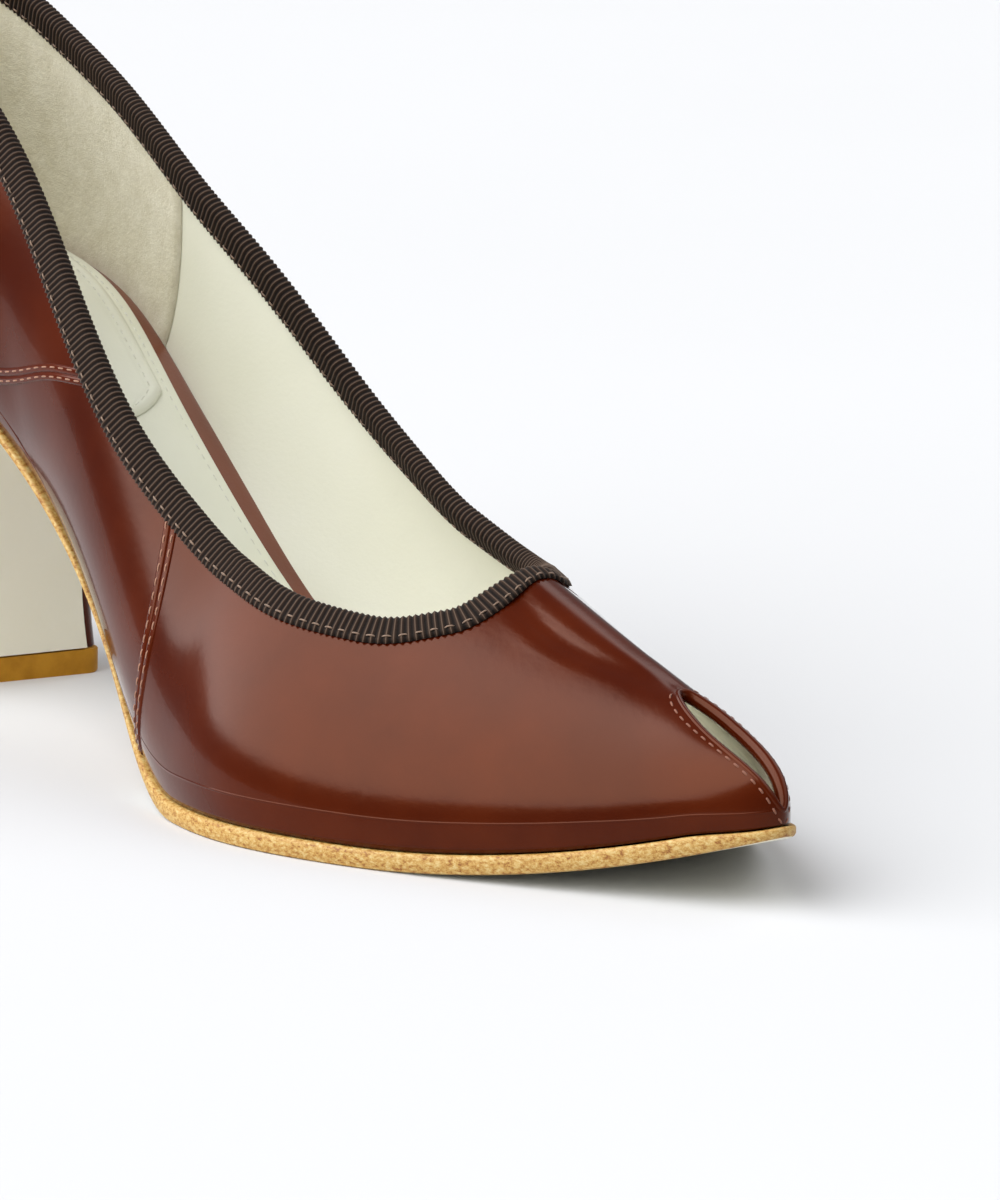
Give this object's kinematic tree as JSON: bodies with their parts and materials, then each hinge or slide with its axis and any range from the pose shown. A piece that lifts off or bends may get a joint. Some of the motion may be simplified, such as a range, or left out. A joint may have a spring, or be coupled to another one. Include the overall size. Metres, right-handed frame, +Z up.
{
  "type": "peep toe pump",
  "caption": "Right women's pump with a block heel, a low cut collar with a ribbon binding and a narrow slit at the pointed toe.",
  "frame": {"origin": "on the floor, under the middle of the shoe's box", "axes": "+X towards the toe, +Y towards the inner side of the foot, +Z up"},
  "size_m": [0.228, 0.0732, 0.1205],
  "materials": {
    "patent_leather": "gloss",
    "ribbon": "matt",
    "sole_leather": "matt",
    "insole_cover": "satin",
    "sock_leather": "satin",
    "pad_leather": "satin",
    "heel_cover": "gloss",
    "breast_leather": "matt",
    "wearing_piece": "matt"
  },
  "bodies": {
    "root": {"upper": "patent_leather", "collar_binding": "ribbon", "outsole": "sole_leather", "insole": "insole_cover", "sock_lining": "sock_leather", "heel_pad": "pad_leather", "heel_block": "heel_cover", "breast_cover": "breast_leather", "top_piece": "wearing_piece"}
  },
  "joints": []
}
